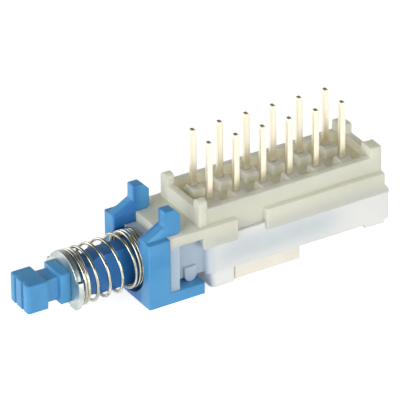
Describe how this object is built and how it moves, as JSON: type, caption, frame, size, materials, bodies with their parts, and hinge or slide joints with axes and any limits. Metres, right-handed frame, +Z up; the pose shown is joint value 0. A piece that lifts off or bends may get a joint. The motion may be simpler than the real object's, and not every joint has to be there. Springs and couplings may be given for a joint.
{
  "type": "latching push button switch",
  "caption": "Slide-action push button switch with a square plunger, return spring, mounting bracket and a grid of upright board terminals.",
  "frame": {"origin": "on the bottom face, under the centre of the terminal grid", "axes": "+X from the button to the rear, +Z up along the terminals, +Y across the rows"},
  "size_m": [0.0328, 0.007, 0.0122],
  "materials": {
    "cream_plastic": "moulded, slightly satin",
    "clear_white_plastic": "moulded, milky and slightly translucent",
    "warm_white_plastic": "moulded",
    "blue_plastic": "moulded, semi-gloss",
    "clip_steel": "stamped",
    "spring_steel": "drawn wire",
    "terminal_metal": "plated, pale",
    "contact_metal": "plated, pale"
  },
  "bodies": {
    "housing": {"terminal_block": "cream_plastic", "case": "clear_white_plastic", "latch_cover": "warm_white_plastic", "bracket": "blue_plastic", "return_spring": "spring_steel", "latch_leaf": "spring_steel", "terminal_a1": "terminal_metal", "terminal_a2": "terminal_metal", "terminal_a3": "terminal_metal", "terminal_a4": "terminal_metal", "terminal_a5": "terminal_metal", "terminal_a6": "terminal_metal", "terminal_b1": "terminal_metal", "terminal_b2": "terminal_metal", "terminal_b3": "terminal_metal", "terminal_b4": "terminal_metal", "terminal_b5": "terminal_metal", "terminal_b6": "terminal_metal"},
    "plunger": {"plunger": "blue_plastic", "retainer": "clip_steel", "contact_a1": "contact_metal", "contact_a2": "contact_metal", "contact_b1": "contact_metal", "contact_b2": "contact_metal"},
    "latch": {"latch_pin": "spring_steel"}
  },
  "joints": [
    {"name": "push", "type": "slide", "parent": "housing", "child": "plunger", "axis": [1, 0, 0], "range_m": [0, 0.003], "stiffness_N_per_m": 400, "deforming": ["return_spring"]},
    {"name": "latch_swing", "type": "hinge", "parent": "housing", "child": "latch", "pos_m": [0.0003, 0, 0], "axis": [0, 0, 1], "range_deg": [0, 7.5]}
  ],
  "couplings": [
    {"joint": "latch_swing", "follows": "push", "rad_per_m": 43.6}
  ]
}
